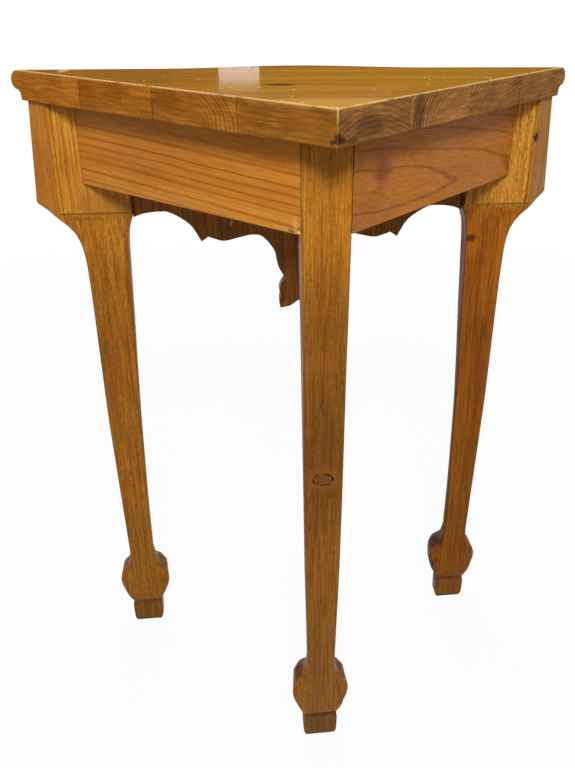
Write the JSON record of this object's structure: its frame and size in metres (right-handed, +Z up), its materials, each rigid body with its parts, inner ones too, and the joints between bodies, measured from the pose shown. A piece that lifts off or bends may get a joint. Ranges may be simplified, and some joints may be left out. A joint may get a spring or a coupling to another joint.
{
  "type": "corner table",
  "caption": "Triangular corner table: solid pine top with a moulded serpentine front, shaped front apron and tapered legs with carved feet.",
  "frame": {"origin": "on the floor, under the middle of the table's bounding box", "axes": "+X to the right for a person who faces the moulded front edge, +Y towards the corner of the room, +Z up"},
  "size_m": [0.606, 0.3366, 0.75],
  "materials": {
    "top_pine": "honey stained pine under a glossy clear lacquer",
    "leg_pine": "honey stained pine under a satin lacquer",
    "apron_pine": "orange stained pine under a satin lacquer",
    "front_apron_pine": "brown stained pine under a satin lacquer",
    "bare_pine": "plain sawn pine",
    "beech": "plain turned beech",
    "brassed_steel": "brass plated steel"
  },
  "bodies": {
    "root": {"top_board_1": "top_pine", "top_board_2": "top_pine", "top_board_3": "top_pine", "top_board_4": "top_pine", "back_leg": "leg_pine", "left_front_leg": "leg_pine", "right_front_leg": "leg_pine", "left_knee_wing": "leg_pine", "right_knee_wing": "leg_pine", "left_back_apron": "apron_pine", "right_back_apron": "apron_pine", "front_apron": "front_apron_pine", "back_corner_block": "bare_pine", "left_corner_block": "bare_pine", "right_corner_block": "bare_pine", "left_top_cleat": "bare_pine", "right_top_cleat": "bare_pine", "left_front_cleat": "bare_pine", "right_front_cleat": "bare_pine", "left_back_leg_upper_dowel": "beech", "left_back_leg_lower_dowel": "beech", "left_front_leg_upper_dowel": "beech", "left_front_leg_lower_dowel": "beech", "left_front_apron_upper_dowel": "beech", "left_front_apron_lower_dowel": "beech", "right_back_leg_upper_dowel": "beech", "right_back_leg_lower_dowel": "beech", "right_front_leg_upper_dowel": "beech", "right_front_leg_lower_dowel": "beech", "right_front_apron_upper_dowel": "beech", "right_front_apron_lower_dowel": "beech", "left_top_cleat_screw_1": "brassed_steel", "left_top_cleat_screw_2": "brassed_steel", "left_top_cleat_screw_3": "brassed_steel", "left_front_cleat_screw_1": "brassed_steel", "right_top_cleat_screw_1": "brassed_steel", "right_top_cleat_screw_2": "brassed_steel", "right_top_cleat_screw_3": "brassed_steel", "right_front_cleat_screw_1": "brassed_steel"}
  },
  "joints": []
}
